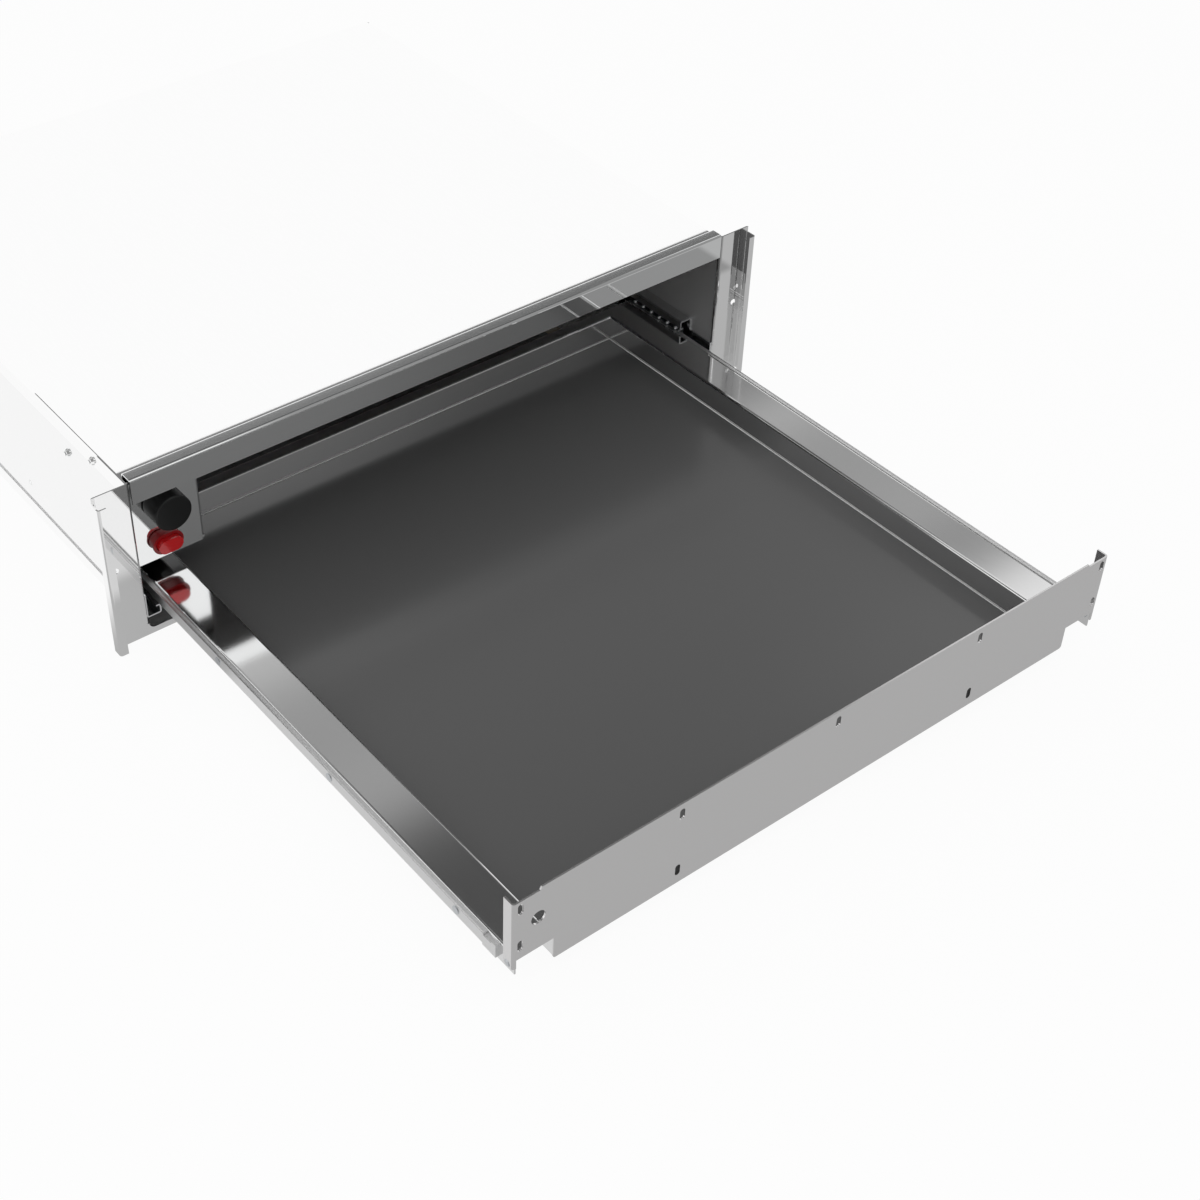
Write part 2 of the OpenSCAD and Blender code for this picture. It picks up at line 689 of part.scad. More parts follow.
module power_button() color("#b01a1e") {
    y1 = panel_y + switch_d - switch_wall - 3 * button_travel;
    translate([panel_mid, 0, button_z]) difference() {
        stadium_y(cap_w / 2, cap_h / 2, cap_y1, y1);
        stadium_y(cap_w / 2 - collar_wall, cap_h / 2 - collar_wall, cap_y1 + 1.5 * collar_wall, y1 + over);
    }
}

// Coil that pushes the button out
module button_spring() color(zinc) {
    y0 = cap_y1 + 1.5 * collar_wall + fit_gap + spring_wire / 2;
    y1 = panel_y + sheet + switch_d - switch_wall - fit_gap - spring_wire / 2;
    r = cap_h * 0.22;
    count = spring_turns * spring_steps;
    translate([panel_mid, 0, button_z])
        swept_tube([for (i = [0 : count]) [r * cos(360 * i / spring_steps), y0 + (y1 - y0) * i / count,
                                           r * sin(360 * i / spring_steps)]], spring_wire, [0, 1, 0], 6);
}

// Half-round shaft of the thermostat, carries the knob
module thermostat_shaft() color(zinc)
    translate([panel_mid, 0, knob_z]) difference() {
        rod_y(shaft_d, shaft_y0, panel_y + sheet);
        block([-shaft_d, shaft_y0 - over, shaft_d * 0.25], [shaft_d, knob_y0, shaft_d]);
    }

// Plain turned knob, hollow at the back
module control_knob() color("#1c1d1e") {
    r = knob_d / 2;
    edge = r * 0.06;
    hub = shaft_d * 0.95;
    hub_back = 2 * sheet;
    wall = r * 0.14;
    cap_back = shaft_l * 0.9;
    translate([panel_mid, knob_y0, knob_z]) rotate([90, 0, 0]) difference() {
        rotate_extrude($fn = 96) polygon([
            [0, hub_back], [hub, hub_back], [hub, cap_back], [r - wall, cap_back], [r - wall, 0],
            [r, 0], [r, knob_l - edge], [r - edge, knob_l], [0, knob_l]]);
        difference() {
            cylinder(d = shaft_d + 2 * fit_gap, h = shaft_l + fit_gap, $fn = fine);
            block([-shaft_d, shaft_d * 0.25 + fit_gap, -over], [shaft_d, shaft_d, shaft_l + over]);
        }
    }
}

// Everything of a runner is drawn in u, from the right side wall inwards, and v, from its own middle
module runner() {
    translate([half_open, 0, bar_z]) mirror([1, 0, 0]) children();
}

// The upper part of the rail is cut away at the front, where the bar is hooked in
module fixed_rail() {
    mid = runner_sheet / 2;
    top = runner_h / 2 - mid;
    shelf = race_v + mid;
    inner_bend = runner_sheet / 2;
    half_path = [[rail_lip_u - shelf_l, shelf], [rail_lip_u, shelf], [rail_lip_u, top], [mid, top]];
    path = concat(half_path, [for (q = backwards(half_path)) [q[0], -q[1]]]);
    runner() difference() {
        along_y(rail_y0, rail_y1) bent_sheet(path, runner_sheet, inner_bend);
        for (s = [-1, 1]) translate([ball_u, 0, s * ball_v]) rod_y(2 * groove_r, rail_y0 - over, rail_y1 + over);
        for (y = screw_places(rail_y0, rail_y1))
            translate([-over, y, 0]) rotate([0, 90, 0]) cylinder(d = screw_d, h = 2 * over + runner_sheet, $fn = fine);
        block([-over, rail_y0 - over, bar_h / 2 + run_gap],
              [runner_t, rail_y0 + hook_l, runner_h / 2 + over]);
    }
}
module right_fixed_rail() color(zinc) fixed_rail();
module left_fixed_rail() color(zinc) mirror([1, 0, 0]) fixed_rail();

module rail_screws() color(zinc) left_too() runner()
    for (y = screw_places(rail_y0, rail_y1))
        translate([runner_sheet, y, 0]) rotate([0, -90, 0]) screw(screw_d, runner_sheet + sheet);

// Plastic blocks in the rear ends of the fixed rails, above and below the races
module rail_stops() color("#e9e9e6") left_too() runner() {
    v = race_v + runner_sheet + run_gap;
    for (s = [0, 1]) mirror([0, 0, s])
        block([runner_sheet * 1.5, rail_y1 - stop_l, v],
              [rail_lip_u - runner_sheet, rail_y1, runner_h / 2 - runner_sheet]);
}

module ball_rows() {
    for (i = [0 : ball_count - 1], s = [-1, 1])
        translate([ball_u, cage_y0 + ball_pitch * (i + 0.5), s * ball_v]) children();
}

// Bent strip that keeps the balls apart
module ball_cage() {
    u1 = runner_t - 2 * run_gap;
    path = [[u1, ball_v], [cage_u, ball_v], [cage_u, -ball_v], [u1, -ball_v]];
    runner() difference() {
        along_y(cage_y0, cage_y0 + cage_l) bent_sheet(path, cage_t, cage_t);
        ball_rows() cylinder(d = ball_d + 2 * fit_gap, h = 2 * cage_t, center = true, $fn = fine);
    }
}
module right_ball_cage() color(steel) ball_cage();
module left_ball_cage() color(steel) mirror([1, 0, 0]) ball_cage();
module right_balls() color("#f2f3f3") runner() ball_rows() sphere(d = ball_d, $fn = fine);
module left_balls() color("#f2f3f3") mirror([1, 0, 0]) runner() ball_rows() sphere(d = ball_d, $fn = fine);

// Bar with a groove in its upper and lower edge, riveted to the lip of the tray. Its front end is
// deeper and has the release notch in its upper edge
module sliding_bar() {
    notch_y = bar_y0 + toe_l - notch_l - sheet;
    runner() difference() {
        union() {
            block([runner_t - bar_t, bar_y0, -bar_h / 2], [runner_t, bar_y1, bar_h / 2]);
            block([runner_t - bar_t, bar_y0, -bar_h / 2 - toe_drop], [runner_t, bar_y0 + toe_l, 0]);
        }
        for (s = [-1, 1]) translate([ball_u, 0, s * ball_v]) rod_y(2 * groove_r, bar_y0 + toe_l, bar_y1 + over);
        for (y = screw_places(bar_y0, bar_y1))
            translate([runner_t - bar_t - over, y, 0]) rotate([0, 90, 0])
                cylinder(d = screw_d, h = bar_t + 2 * over, $fn = fine);
        block([runner_t - bar_t - over, notch_y, bar_h / 2 - toe_drop],
              [runner_t + over, notch_y + notch_l, bar_h / 2 + over]);
    }
}
module right_sliding_bar() color(bright) opened() sliding_bar();
module left_sliding_bar() color(bright) opened() mirror([1, 0, 0]) sliding_bar();

module bar_rivets() color(zinc) opened() left_too() runner()
    for (y = screw_places(bar_y0, bar_y1)) translate([runner_t - bar_t, y, 0]) rotate([0, 90, 0]) {
        cylinder(d = screw_d - 2 * fit_gap, h = bar_t + sheet, $fn = fine);
        translate([0, 0, -sheet / 2]) cylinder(d = screw_d * 1.5, h = sheet / 2, $fn = fine);
    }

// Rubber pads on the rear ends of the bars
module bar_stops() color("#26282a") opened() left_too() runner()
    block([runner_t - bar_t + groove_depth, bar_y1, -bar_h / 3], [runner_t, bar_y1 + sheet, bar_h / 3]);

// A bent profile run round a rectangle w by d, with mitred corners; s points outwards
module framed(w, d, reach_in, reach_out, z0, z1) {
    for (a = [0 : 3]) rotate([0, 0, 90 * a])
        let (half = (a % 2 == 0 ? w : d) / 2, l = (a % 2 == 0 ? d : w) / 2)
            intersection() {
                along_y(-l - reach_out - over, l + reach_out + over) translate([half, 0]) children();
                translate([half, 0, z0]) linear_extrude(z1 - z0)
                    polygon([[-reach_in, reach_in - l], [reach_out, -reach_out - l],
                             [reach_out, reach_out + l], [-reach_in, l - reach_in]]);
            }
}

// Folded tray: ledge, walls and rims of one sheet, open bottom for the glass
module drawer_tray() color(bright) opened() {
    ledge_z = ledge_top - sheet / 2;
    rim_mid = rim_z - sheet / 2;
    neck = sheet / 2 + bend_r + sheet;
    lip_z = rim_z - tray_lip_h;
    back_lip = tray_lip_h / 2;
    lip_u = tray_x - sheet / 2;
    difference() {
        union() {
            translate([0, mid_y, 0]) framed(2 * inner_x, inner_l, ledge_w, neck, ledge_z - sheet, rim_z + sheet)
                bent_sheet([[-ledge_w, ledge_z], [sheet / 2, ledge_z], [sheet / 2, rim_mid], [neck + over, rim_mid]]);
            difference() {
                block([-lip_u + neck, tray_front, rim_z - sheet], [lip_u - neck, tray_back - neck, rim_z]);
                block([-inner_x - neck + weld, wall_front - neck + weld, 0],
                      [inner_x + neck - weld, wall_back + neck - weld, rim_z + over]);
            }
            left_too() along_y(tray_front, tray_back)
                bent_sheet([[lip_u - neck - weld, rim_mid], [lip_u, rim_mid], [lip_u, lip_z]]);
            along_x(-lip_u + neck, lip_u - neck)
                bent_sheet([[tray_back - neck - weld, rim_mid], [tray_back - sheet / 2, rim_mid],
                            [tray_back - sheet / 2, rim_z - back_lip]]);
            left_too() block([inner_x, tray_front, wall_foot], [inner_x + sheet, wall_front + weld, rim_z - weld]);
        }
        left_too() for (y = screw_places(bar_y0, bar_y1)) translate([tray_x - sheet - over, y, bar_z])
            rotate([0, 90, 0]) cylinder(d = screw_d, h = sheet + 2 * over, $fn = fine);
        left_too() front_rivet_places() rotate([0, 90, 0])
            cylinder(d = rivet_d, h = 8 * over, center = true, $fn = fine);
    }
}

module glass_base() color("#3f4143") opened()
    block([-inner_x + run_gap, wall_front + run_gap, glass_under],
          [inner_x - run_gap, wall_back - run_gap, glass_z]);

module glass_seal() color("#1d1e1f") opened() difference() {
    block([-inner_x + 2 * bend_r, wall_front + 2 * bend_r, ledge_top],
          [inner_x - 2 * bend_r, wall_back - 2 * bend_r, glass_under]);
    block([-inner_x + ledge_w, wall_front + ledge_w, ledge_top - over],
          [inner_x - ledge_w, wall_back - ledge_w, glass_under + over]);
}

// Outline of the front plate in X and Z, right half from the bottom middle upwards
function arc(c, r, a0, a1) = [for (k = [0 : bend_steps]) c + r * [cos(a0 + (a1 - a0) * k / bend_steps),
                                                                  sin(a0 + (a1 - a0) * k / bend_steps)]];
function plate_half_outline() = concat(
    [[0, apron_z]], arc([apron_x - apron_r, apron_z + apron_r], apron_r, -90, 0),
    [[apron_x, plate_bottom], [plate_half - plate_t - bend_r, plate_bottom],
     [plate_half - plate_t - bend_r, plate_top],
     [step_x + step_run, plate_top], [step_x, plate_top + plate_step], [0, plate_top + plate_step]]);
module plate_outline() {
    half = plate_half_outline();
    polygon(concat(half, backwards(flipped(half))));
}
plate_slots = [[slot_outer_x, slot_top_z], [slot_outer_x, slot_end_z], [slot_inner_x, slot_top_z],
               [slot_inner_x, slot_low_z]];

module front_plate() color(steel) opened() {
    x = plate_half - plate_t / 2;
    y = plate_y + plate_t / 2;
    difference() {
        union() {
            along_y(plate_y, plate_y + plate_t) plate_outline();
            left_too() translate([0, 0, return_z]) linear_extrude(plate_top - return_z)
                bent_sheet([[x - plate_t - bend_r - weld, y], [x, y], [x, plate_y + return_d]], plate_t);
        }
        left_too() for (p = plate_slots) translate([p[0], 0, p[1]])
            upright_slot(slot_w, slot_h, plate_y - over, plate_y + plate_t + over);
        translate([0, 0, slot_top_z]) upright_slot(slot_w, slot_h, plate_y - over, plate_y + plate_t + over);
        translate([adjust_x, 0, adjust_z]) rod_y(adjust_hole_d, plate_y - over, plate_y + plate_t + over);
        left_too() front_rivet_places() rotate([0, 90, 0])
            cylinder(d = rivet_d, h = 8 * over, center = true, $fn = fine);
    }
}

// The returns of the front plate are riveted to the lips of the tray through a packing
module front_rivet_places()
    translate([tray_x, tray_front + (return_d - plate_t) / 2, (return_z + pack_top) / 2]) children();

module plate_packings() color(zinc) opened() left_too() difference() {
    block([tray_x, tray_front + bend_r, return_z], [plate_half - plate_t, plate_y + return_d, pack_top]);
    front_rivet_places() rotate([0, 90, 0]) cylinder(d = rivet_d, h = 8 * over, center = true, $fn = fine);
}

module front_plate_rivets() color(zinc) opened() left_too() front_rivet_places() rotate([0, 90, 0]) {
    l = plate_half - tray_x;
    translate([0, 0, -sheet]) cylinder(d = rivet_d - 2 * fit_gap, h = l + sheet, $fn = fine);
    translate([0, 0, -sheet * 1.5]) cylinder(d = rivet_d * 1.5, h = sheet / 2, $fn = fine);
    translate([0, 0, l]) cylinder(d1 = rivet_d * 1.7, d2 = rivet_d * 1.2, h = sheet / 2, $fn = fine);
}

housing_base();
housing_left_side();
housing_right_side();
housing_back();
housing_cover();
front_top_rail();
housing_screws();
insulation_board();
heating_plate();
heating_element();
heater_lead();
terminal_block();
wiring_harness();
cable_bush();
rear_bumpers();
control_box();
control_box_screw();
thermostat_body();
thermostat_nut();
capillary_tube();
sensor_bulb();
bulb_clips();
switch_body();
switch_collar();
power_button();
button_spring();
thermostat_shaft();
control_knob();
left_fixed_rail();
right_fixed_rail();
rail_screws();
rail_stops();
left_ball_cage();
right_ball_cage();
left_balls();
right_balls();
left_sliding_bar();
right_sliding_bar();
bar_rivets();
bar_stops();
drawer_tray();
glass_base();
glass_seal();
front_plate();
plate_packings();
front_plate_rivets();
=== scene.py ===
import math

import bpy
from mathutils import Matrix, Vector


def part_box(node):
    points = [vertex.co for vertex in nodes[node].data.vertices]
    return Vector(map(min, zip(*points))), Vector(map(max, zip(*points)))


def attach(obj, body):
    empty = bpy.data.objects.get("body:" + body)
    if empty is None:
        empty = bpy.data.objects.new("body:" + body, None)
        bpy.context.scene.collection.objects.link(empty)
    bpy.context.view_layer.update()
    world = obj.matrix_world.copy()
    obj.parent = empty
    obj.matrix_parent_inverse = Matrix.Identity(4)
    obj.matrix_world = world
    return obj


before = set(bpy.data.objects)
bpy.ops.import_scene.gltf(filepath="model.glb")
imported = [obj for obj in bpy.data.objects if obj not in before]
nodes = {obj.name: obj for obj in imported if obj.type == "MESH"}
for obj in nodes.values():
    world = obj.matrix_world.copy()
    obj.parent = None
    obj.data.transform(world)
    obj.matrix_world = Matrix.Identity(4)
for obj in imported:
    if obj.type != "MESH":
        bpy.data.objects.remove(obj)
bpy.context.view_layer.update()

# Camera: it stands at the front left, looks down on the pulled-out drawer, and was solved from
# the edges of the front frame. The picture was cropped off its middle, hence the small shift.
CAMERA_PLACE = (-0.70927, -0.98968, 0.94741)
CAMERA_YAW = math.radians(37.41)
CAMERA_PITCH = math.radians(-39.95)
CAMERA_ROLL = math.radians(0.24)
FOCAL_PX = 1971.07
CENTRE_PX = (501.14, 566.12)
FRAME_PX = 1200
SENSOR_MM = 36

forward = Vector((math.sin(CAMERA_YAW) * math.cos(CAMERA_PITCH),
                  math.cos(CAMERA_YAW) * math.cos(CAMERA_PITCH), math.sin(CAMERA_PITCH)))
level_right = Vector((math.cos(CAMERA_YAW), -math.sin(CAMERA_YAW), 0))
level_up = level_right.cross(forward)
camera_right = level_right * math.cos(CAMERA_ROLL) + level_up * math.sin(CAMERA_ROLL)
camera_up = level_up * math.cos(CAMERA_ROLL) - level_right * math.sin(CAMERA_ROLL)
camera_data = bpy.data.cameras.new("camera")
camera_data.sensor_width = SENSOR_MM
camera_data.lens = FOCAL_PX / FRAME_PX * SENSOR_MM
camera_data.shift_x = (FRAME_PX / 2 - CENTRE_PX[0]) / FRAME_PX
camera_data.shift_y = (CENTRE_PX[1] - FRAME_PX / 2) / FRAME_PX
camera = bpy.data.objects.new("camera", camera_data)
turn = Matrix((camera_right, camera_up, -forward)).transposed().to_4x4()
camera.matrix_world = Matrix.Translation(CAMERA_PLACE) @ turn
bpy.context.scene.collection.objects.link(camera)
bpy.context.scene.camera = camera
bpy.context.scene.view_settings.view_transform = "Standard"

# Tent: white cloth all round, which the polished steel mirrors. Two grey flags hang behind and
# above the drawer, a grey cloth with a gap closes its front, and a grey card hangs at the front
# left. A place on a flag is its run along the ground for each unit of height, over FLAG_RUN.
TENT_LIGHT = 0.70
WHITE_HEX = "#ffffff"
FLAG_RUN = 2.0
LEFT_FLAG = [(0.0, 1.0), (0.02, 0.5), (0.22, 0.5), (0.27, 1.0), (0.30, 0.06), (0.37, 0.07),
             (0.382, 0.12), (0.392, 0.34), (0.40, 0.38), (0.43, 0.31), (0.463, 0.31), (0.473, 0.42),
             (0.481, 0.69), (0.49, 0.60), (0.50, 0.24), (0.56, 0.22), (0.6185, 0.20)]
RIGHT_FLAG = [(0.0, 1.0), (0.345, 0.85), (0.352, 0.60), (0.36, 0.26), (0.375, 0.23),
              (0.385, 0.27), (0.395, 0.38), (0.43, 0.33), (0.463, 0.32), (0.473, 0.37),
              (0.481, 0.56), (0.49, 0.50), (0.50, 0.22), (0.56, 0.18), (0.6185, 0.16)]
CARD_HEX = "#949494"
CLOTH_HEX = "#949494"
# Each pair is where a soft edge starts and ends; the two least values keep a run finite.
RIGHT_FROM = (0.74, 0.92)
FLAG_END = (1.2376, 1.2386)
CARD_RIM = (0.80, 0.90)
CLOTH_FROM = (0.0, 0.05)
GAP_LOW = (0.40, 0.50)
GAP_TOP = (2.1, 1.8)
GAP_SIDE = (0.72, 0.62)
LEAST_HEIGHT = 0.02
LEAST_REACH = 0.02


def linear(hex_colour):
    """An sRGB hex colour as linear RGBA."""
    parts = [int(hex_colour[i:i + 2], 16) / 255 for i in (1, 3, 5)]
    return tuple(c / 12.92 if c <= 0.04045 else ((c + 0.055) / 1.055) ** 2.4 for c in parts) + (1.0,)


def add_node(tree, kind, inputs=None, **settings):
    """Adds a node; an input is set to a value, or linked when the value is an output socket."""
    node = tree.nodes.new(kind)
    for name, value in settings.items():
        setattr(node, name, value)
    for name, value in (inputs or {}).items():
        socket = node.inputs[name]
        if isinstance(value, bpy.types.NodeSocket):
            tree.links.new(value, socket)
        else:
            socket.default_value = value
    return node


def within(tree, *edges):
    """1 where every value is past its soft edge, which it crosses from start to end."""
    share = None
    for value, start, end in edges:
        edge = add_node(tree, "ShaderNodeMapRange",
                        {"Value": value, "From Min": start, "From Max": end},
                        interpolation_type="SMOOTHSTEP").outputs[0]
        if share is not None:
            edge = add_node(tree, "ShaderNodeMath", {0: share, 1: edge},
                            operation="MULTIPLY").outputs[0]
        share = edge
    return share


def seen_directly(tree):
    """1 for camera, glossy and transmission rays, which show the white background."""
    path = add_node(tree, "ShaderNodeLightPath")
    first = add_node(tree, "ShaderNodeMath", {0: path.outputs["Is Camera Ray"],
                     1: path.outputs["Is Glossy Ray"]}, operation="MAXIMUM")
    both = add_node(tree, "ShaderNodeMath", {0: first.outputs[0],
                    1: path.outputs["Is Transmission Ray"]}, operation="MAXIMUM")
    return path, both.outputs[0]


world = bpy.data.worlds.new("white_tent")
bpy.context.scene.world = world
world.use_nodes = True
tree = world.node_tree
tree.nodes.clear()
direction = add_node(tree, "ShaderNodeTexCoord").outputs["Generated"]
part = add_node(tree, "ShaderNodeSeparateXYZ", {0: direction}).outputs
height = add_node(tree, "ShaderNodeMath", {0: part["Z"], 1: LEAST_HEIGHT},
                  operation="MAXIMUM").outputs[0]
ahead = add_node(tree, "ShaderNodeMath", {0: part["Y"], 1: -1.0}, operation="MULTIPLY").outputs[0]
reach = add_node(tree, "ShaderNodeMath", {0: ahead, 1: LEAST_REACH},
                 operation="MAXIMUM").outputs[0]
back_run, side_run, aside, rise = [
    add_node(tree, "ShaderNodeMath", {0: over, 1: under}, operation="DIVIDE").outputs[0]
    for over, under in ((part["Y"], height), (part["X"], height),
                        (part["X"], reach), (height, reach))]
place = add_node(tree, "ShaderNodeMath", {0: back_run, 1: FLAG_RUN},
                 operation="DIVIDE", use_clamp=True)
flags = []
for stops in (LEFT_FLAG, RIGHT_FLAG):
    flag = add_node(tree, "ShaderNodeValToRGB", {"Fac": place.outputs[0]})
    elements = flag.color_ramp.elements
    while len(elements) < len(stops):
        elements.new(0.5)
    for element, (position, level) in zip(elements, stops):
        element.position = position
        element.color = (level, level, level, 1)
    flags.append(flag.outputs[0])
near_card = add_node(tree, "ShaderNodeVectorMath", {0: direction, 1: -forward},
                     operation="DOT_PRODUCT")
gap = within(tree, (rise, *GAP_LOW), (rise, *GAP_TOP), (aside, *GAP_SIDE))
closed = add_node(tree, "ShaderNodeMath", {0: 1.0, 1: gap}, operation="SUBTRACT").outputs[0]
cloth = add_node(tree, "ShaderNodeMath", {0: closed, 1: within(tree, (ahead, *CLOTH_FROM))},
                 operation="MULTIPLY").outputs[0]
path, direct = seen_directly(tree)
tent = flags[0]
for share, nearer in ((within(tree, (side_run, *RIGHT_FROM)), flags[1]),
                      (within(tree, (back_run, *FLAG_END)), linear(WHITE_HEX)),
                      (within(tree, (near_card.outputs["Value"], *CARD_RIM)), linear(CARD_HEX)),
                      (cloth, linear(CLOTH_HEX))):
    tent = add_node(tree, "ShaderNodeMix", {"Factor": share, "A": tent, "B": nearer},
                    data_type="RGBA").outputs["Result"]
tent = add_node(tree, "ShaderNodeMix", {"Factor": path.outputs["Is Glossy Ray"],
                "A": linear(WHITE_HEX), "B": tent}, data_type="RGBA").outputs["Result"]
strength = add_node(tree, "ShaderNodeMapRange",
                    {"Value": direct, "To Min": TENT_LIGHT, "To Max": 1.0})
light = add_node(tree, "ShaderNodeBackground", {"Color": tent, "Strength": strength.outputs[0]})
add_node(tree, "ShaderNodeOutputWorld", {"Surface": light.outputs[0]})

# Floor: pale paper, white to the camera, with a trace of the object's shadow. Glossy rays alone see
# painted reflections on it, which the steel mirrors: grey in front of the frame, a lighter strip
# beside the left runner (painted light), a darker one at the right (painted shade), white behind.
FLOOR_SIZE = 12.0
FLOOR_DROP = 0.0006
FLOOR_HEX = "#e6e6e6"
SHADOW_SHARE = 0.06
# Painted reflection tones: only glossy rays see them, and the camera sees the floor white.
REFLECTED_GREY_HEX = "#b3b3b3"
WHITE_FROM_Y = (0.0, 0.07)
REFLECTED_LIGHT_HEX = "#d9d9d9"
REFLECTED_LIGHT_STRIP = (("X", -0.2285, -0.2325), ("Y", -0.41, -0.406), ("Y", -0.06, -0.08))
REFLECTED_SHADE_HEX = "#8f8f8f"
REFLECTED_SHADE_STRIP = (("X", 0.28, 0.30), ("Y", -0.27, -0.24), ("Y", -0.115, -0.125), ("X", 0.41, 0.40))


def new_material(name):
    """An empty node material and its tree."""
    material = bpy.data.materials.new(name)
    material.use_nodes = True
    material.node_tree.nodes.clear()
    return material, material.node_tree


floor_mesh = bpy.data.meshes.new("studio_floor")
half = FLOOR_SIZE / 2
floor_mesh.from_pydata([(-half, -half, -FLOOR_DROP), (half, -half, -FLOOR_DROP),
                        (half, half, -FLOOR_DROP), (-half, half, -FLOOR_DROP)], [], [(0, 1, 2, 3)])
floor = bpy.data.objects.new("studio_floor", floor_mesh)
bpy.context.scene.collection.objects.link(floor)
material, tree = new_material("pale_paper_floor")
lit = add_node(tree, "ShaderNodeBsdfDiffuse", {"Color": linear(FLOOR_HEX)})
path, direct = seen_directly(tree)
where = add_node(tree, "ShaderNodeTexCoord").outputs["Object"]
spot = add_node(tree, "ShaderNodeSeparateXYZ", {0: where}).outputs
white = add_node(tree, "ShaderNodeMath", {0: within(tree, (spot["Y"], *WHITE_FROM_Y)),
                 1: path.outputs["Is Camera Ray"]}, operation="MAXIMUM").outputs[0]
# Painted reflection: grey paper, a strip of painted light and a strip of painted shade, for glossy
# rays.
tone = linear(REFLECTED_GREY_HEX)
for share, nearer in (
        (within(tree, *[(spot[axis], *edge) for axis, *edge in REFLECTED_LIGHT_STRIP]), linear(REFLECTED_LIGHT_HEX)),
        (within(tree, *[(spot[axis], *edge) for axis, *edge in REFLECTED_SHADE_STRIP]), linear(REFLECTED_SHADE_HEX)),
        (white, linear(WHITE_HEX))):
    tone = add_node(tree, "ShaderNodeMix", {"Factor": share, "A": tone, "B": nearer},
                    data_type="RGBA").outputs["Result"]
bright = add_node(tree, "ShaderNodeEmission", {"Color": tone, "Strength": 1.0})
shown = add_node(tree, "ShaderNodeMath", {0: direct, 1: 1 - SHADOW_SHARE}, operation="MULTIPLY")
mixed = add_node(tree, "ShaderNodeMixShader",
                 {0: shown.outputs[0], 1: lit.outputs[0], 2: bright.outputs[0]})
add_node(tree, "ShaderNodeOutputMaterial", {"Surface": mixed.outputs[0]})
floor_mesh.materials.append(material)

# Lamp: one wide soft box at the front left. The steel doesn't mirror it, so that it leaves no
# square of light on the tray.
LAMP_POWER = 26
LAMP_SIZE = 2.4
LAMP_PLACE = (-1.3, -1.6, 2.6)
lamp_data = bpy.data.lights.new("soft_box", "AREA")
lamp_data.energy = LAMP_POWER
lamp_data.size = LAMP_SIZE
lamp = bpy.data.objects.new("soft_box", lamp_data)
lamp.location = LAMP_PLACE
lamp.rotation_mode = "QUATERNION"
lamp.rotation_quaternion = (Vector((0, 0, 0)) - Vector(LAMP_PLACE)).to_track_quat("-Z", "Y")
lamp.visible_glossy = False
bpy.context.scene.collection.objects.link(lamp)

# Housing: base, cover and back are bright sheet, folded with hems and screwed together. They
# mirror the white tent, so that the box melts into the background as in the photograph.
# Their inner faces keep the duller finish of the cold-rolled sheet.
HOUSING_MIDDLE = (0, 0.25, 0.07)
INNER_ROUGH = 0.55
INNER_FROM = (0.0, -0.01)
INNER_FROM_Y = (0.002, 0.004)
GRAIN_WIDTH = 0.0003
GRAIN_LENGTH = 0.018
GRAIN_SHADE = 0.97


def finish_material(tree, finish):
    """Ends a material's tree with one shader, whose sockets are set or linked."""
    shader = add_node(tree, "ShaderNodeBsdfPrincipled", finish)
    add_node(tree, "ShaderNodeOutputMaterial", {"Surface": shader.outputs[0]})


def dress(material, *names):
    """Gives the named pieces of the model this material."""
    for name in names:
        mesh = nodes[name].data
        mesh.materials.clear()
        mesh.materials.append(material)


def rolled_steel(name, hex_colour, rough, grain_axis, grain, inner_rough=None):
    """Steel with the fine grain that its last rolls leave, which streaks its gloss a little.

    The real grain is finer than a pixel, so it is drawn as wide as GRAIN_WIDTH to show. With an
    inner roughness, the faces that look towards the middle of the housing are duller.
    """
    material, tree = new_material(name)
    scale = [1 / (GRAIN_LENGTH if axis == grain_axis else GRAIN_WIDTH) for axis in range(3)]
    where = add_node(tree, "ShaderNodeTexCoord").outputs
    laid = add_node(tree, "ShaderNodeMapping", {"Vector": where["Object"], "Scale": scale})
    streaks = add_node(tree, "ShaderNodeTexNoise", {"Vector": laid.outputs[0], "Scale": 1.0,
                       "Detail": 2.0, "Roughness": 0.6}).outputs["Fac"]
    gloss = add_node(tree, "ShaderNodeMapRange", {"Value": streaks, "To Min": rough - grain,
                     "To Max": rough + grain}).outputs[0]
    colour = linear(hex_colour)
    dark = [channel * GRAIN_SHADE for channel in colour[:3]] + [1]
    shade = add_node(tree, "ShaderNodeMix", {"Factor": streaks, "A": dark, "B": colour},
                     data_type="RGBA").outputs["Result"]
    if inner_rough:
        away = add_node(tree, "ShaderNodeVectorMath", {0: where["Object"], 1: HOUSING_MIDDLE},
                        operation="SUBTRACT").outputs[0]
        outward = add_node(tree, "ShaderNodeVectorMath", {0: where["Normal"], 1: away},
                           operation="DOT_PRODUCT").outputs["Value"]
        depth = add_node(tree, "ShaderNodeSeparateXYZ", {0: where["Object"]}).outputs["Y"]
        inner = within(tree, (outward, *INNER_FROM), (depth, *INNER_FROM_Y))
        gloss = add_node(tree, "ShaderNodeMix",
                         {"Factor": inner, "A": gloss, "B": inner_rough}).outputs["Result"]
    finish_material(tree, {"Base Color": shade, "Metallic": 1.0, "Roughness": gloss})
    return material


# Bright-annealed stainless steel: almost a mirror, so it takes the colour of what stands round it.
bright_lengthwise = rolled_steel("bright_stainless_lengthwise", "#fdfdfd", 0.01, 1, 0.004,
                                 INNER_ROUGH)
dress(bright_lengthwise, "housing_base", "housing_back", "housing_cover", "housing_screws")

# Side walls: each wall, its front flange and lip are one bent sheet of bright stainless steel,
# its grain upright, screwed to base, back and cover. The flanges mirror the floor and the tray
# in front of them.
bright_upright = rolled_steel("bright_stainless_upright", "#f8f8f8", 0.03, 2, 0.01, INNER_ROUGH)
dress(bright_upright, "housing_left_side", "housing_right_side")

